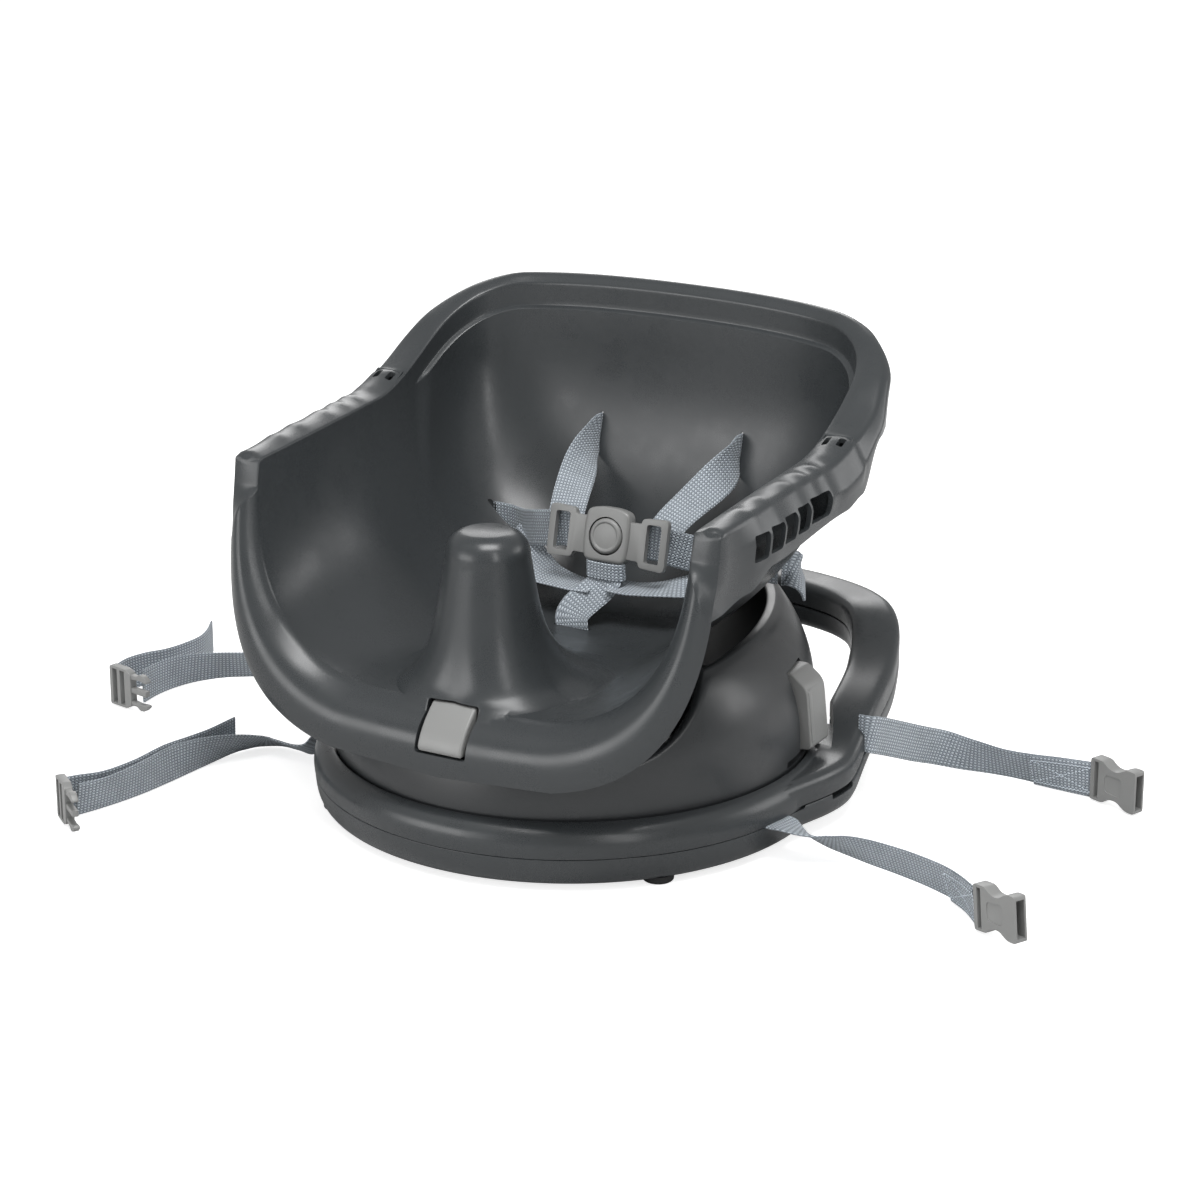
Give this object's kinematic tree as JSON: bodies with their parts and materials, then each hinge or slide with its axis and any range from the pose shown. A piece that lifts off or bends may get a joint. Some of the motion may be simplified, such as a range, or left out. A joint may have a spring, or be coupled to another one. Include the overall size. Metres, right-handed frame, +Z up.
{
  "type": "chair booster seat",
  "caption": "Child booster seat for a dining chair: moulded bucket with crotch post and harness, reclining and height-adjusting in a swivelling pod on a round strapped base with loop handle.",
  "frame": {"origin": "middle of the footprint (loop handle included, chair straps left out), at the bottom of the feet", "axes": "+Z up, -Y the way the child faces, +X to the left hand of a child sitting in it"},
  "size_m": [0.735, 0.4758, 0.316],
  "materials": {
    "body": "satin charcoal moulding",
    "pod": "satin charcoal moulding",
    "pale": "satin mid grey moulding",
    "webbing": "woven grey webbing",
    "rubber": "matt black",
    "steel": "plain",
    "bearing": "slippery white moulding"
  },
  "bodies": {
    "base": {"base_pan": "body", "base_ring": "body", "foot_1": "rubber", "foot_2": "rubber", "foot_3": "rubber", "foot_4": "rubber", "swivel_bearing": "bearing", "chair_strap_front_right": "webbing", "chair_strap_rear_right": "webbing", "chair_strap_front_left": "webbing", "chair_strap_rear_left": "webbing", "chair_strap_tail_front_left": "webbing", "chair_strap_tail_rear_left": "webbing", "strap_clip_front_right": "pale", "strap_clip_rear_right": "pale", "strap_clip_front_left": "pale", "strap_clip_rear_left": "pale"},
    "pod": {"turntable": "pod", "swivel_retainer": "pod", "pod_shell": "pod", "column_guide": "pod", "lever_pin_right": "steel", "lever_pin_left": "steel"},
    "lever_right": {"lever_right": "pale"},
    "lever_left": {"lever_left": "pale"},
    "latch_right": {"latch_rod_right": "steel"},
    "latch_left": {"latch_rod_left": "steel"},
    "column": {"seat_column": "pod", "recline_pivot_pin": "steel", "recline_rack": "steel"},
    "seat": {"seat_shell": "body", "seat_carrier": "pod", "shoulder_strap_right": "webbing", "shoulder_strap_left": "webbing", "waist_strap_right": "webbing", "waist_strap_left": "webbing", "waist_strap_tail_right": "webbing", "waist_strap_tail_left": "webbing", "harness_tongue_right": "pale", "harness_tongue_left": "pale", "crotch_strap": "webbing", "harness_buckle": "pale"},
    "release": {"recline_button": "pale", "recline_latch_bar": "steel"},
    "buckle_button": {"harness_button": "pale"}
  },
  "joints": [
    {"name": "pod_swivel", "type": "hinge", "parent": "base", "child": "pod", "pos_m": [0, -0.03835, 0.042], "axis": [0, 0, 1], "continuous": true},
    {"name": "column_height", "type": "slide", "parent": "pod", "child": "column", "axis": [0, 0, 1], "range_m": [0, 0.045]},
    {"name": "seat_recline", "type": "hinge", "parent": "column", "child": "seat", "pos_m": [0, -0.01835, 0.088], "axis": [-1, 0, 0], "range_deg": [0, 12]},
    {"name": "release_press", "type": "slide", "parent": "seat", "child": "release", "axis": [0, 1, 0], "range_m": [0, 0.005], "stiffness_N_per_m": 400, "springref_m": -0.003},
    {"name": "buckle_press", "type": "slide", "parent": "seat", "child": "buckle_button", "axis": [0, 1, 0], "range_m": [0, 0.003], "stiffness_N_per_m": 500, "springref_m": -0.002},
    {"name": "lever_right_pull", "type": "hinge", "parent": "pod", "child": "lever_right", "pos_m": [0.136, 0.00565, 0.052], "axis": [0, 1, 0], "range_deg": [0, 10], "stiffness_Nm_per_rad": 0.8, "springref_deg": -8.59},
    {"name": "lever_left_pull", "type": "hinge", "parent": "pod", "child": "lever_left", "pos_m": [-0.136, 0.00565, 0.052], "axis": [0, -1, 0], "range_deg": [0, 10], "stiffness_Nm_per_rad": 0.8, "springref_deg": -8.59},
    {"name": "latch_right_slide", "type": "slide", "parent": "pod", "child": "latch_right", "axis": [1, 0, 0], "range_m": [0, 0.0035]},
    {"name": "latch_left_slide", "type": "slide", "parent": "pod", "child": "latch_left", "axis": [-1, 0, 0], "range_m": [0, 0.0035]}
  ],
  "couplings": [
    {"joint": "latch_right_slide", "follows": "lever_right_pull", "m_per_rad": 0.018},
    {"joint": "latch_left_slide", "follows": "lever_left_pull", "m_per_rad": 0.018}
  ]
}
